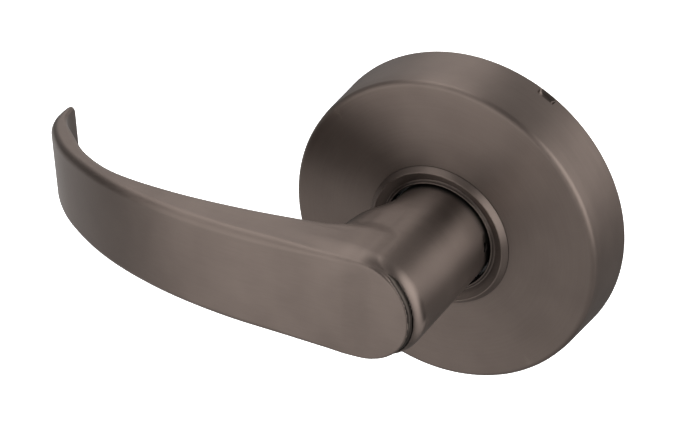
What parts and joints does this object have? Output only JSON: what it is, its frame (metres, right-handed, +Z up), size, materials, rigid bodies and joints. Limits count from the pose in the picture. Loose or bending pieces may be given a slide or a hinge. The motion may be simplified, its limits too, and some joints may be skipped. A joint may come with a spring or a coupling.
{
  "type": "lever handle lockset",
  "caption": "Curved door lever on a round rose with a raised collar; a sprung cage in the rose returns the lever to level and a square spindle carries its turn into the door.",
  "frame": {"origin": "on the spindle's axis, in the plane of the door's surface, where the centring boss meets the plate's back face", "axes": "+Y along the spindle into the door, so the trim faces -Y; +Z up; the lever points to -X when it is level"},
  "size_m": [0.1614, 0.104, 0.0888],
  "materials": {
    "bronze_finish": "oil-rubbed bronze, satin and finely brushed",
    "zinc_plated_steel": "clear zinc plate over pressed steel",
    "turned_steel": "turned and lightly oiled",
    "spring_steel": "dark tempered spring steel",
    "cast_zinc": "tumbled zinc die casting",
    "sintered_bronze": "oiled sintered bronze"
  },
  "bodies": {
    "trim": {"mounting_plate": "zinc_plated_steel", "rose": "bronze_finish", "rose_collar": "bronze_finish", "mounting_posts": "turned_steel", "rose_clips": "spring_steel", "clip_rivets": "turned_steel", "cage_housing": "cast_zinc", "cage_cover": "zinc_plated_steel", "cage_screws": "turned_steel", "rear_bearing": "sintered_bronze", "front_bearing": "sintered_bronze", "stop_pin": "turned_steel", "return_spring_left": "spring_steel", "return_spring_right": "spring_steel"},
    "handle": {"lever": "bronze_finish", "spindle_tube": "turned_steel", "spring_driver": "cast_zinc", "wave_washer": "spring_steel", "retaining_ring": "spring_steel", "drive_bush": "cast_zinc", "square_spindle": "zinc_plated_steel", "spindle_pin": "spring_steel", "catch_spring": "spring_steel"},
    "catch": {"lever_catch": "turned_steel"}
  },
  "joints": [
    {"name": "lever_turn", "type": "hinge", "parent": "trim", "child": "handle", "pos_m": [0, 0, 0], "axis": [0, -1, 0], "range_deg": [-45, 45], "stiffness_Nm_per_rad": 2, "springref_deg": -3.44, "deforming": ["return_spring_left", "return_spring_right"]},
    {"name": "catch_slide", "type": "slide", "parent": "handle", "child": "catch", "axis": [-0.9954, 0, -0.0958], "range_m": [0, 0.0025], "stiffness_N_per_m": 400, "springref_m": -0.003, "deforming": ["catch_spring"]}
  ]
}
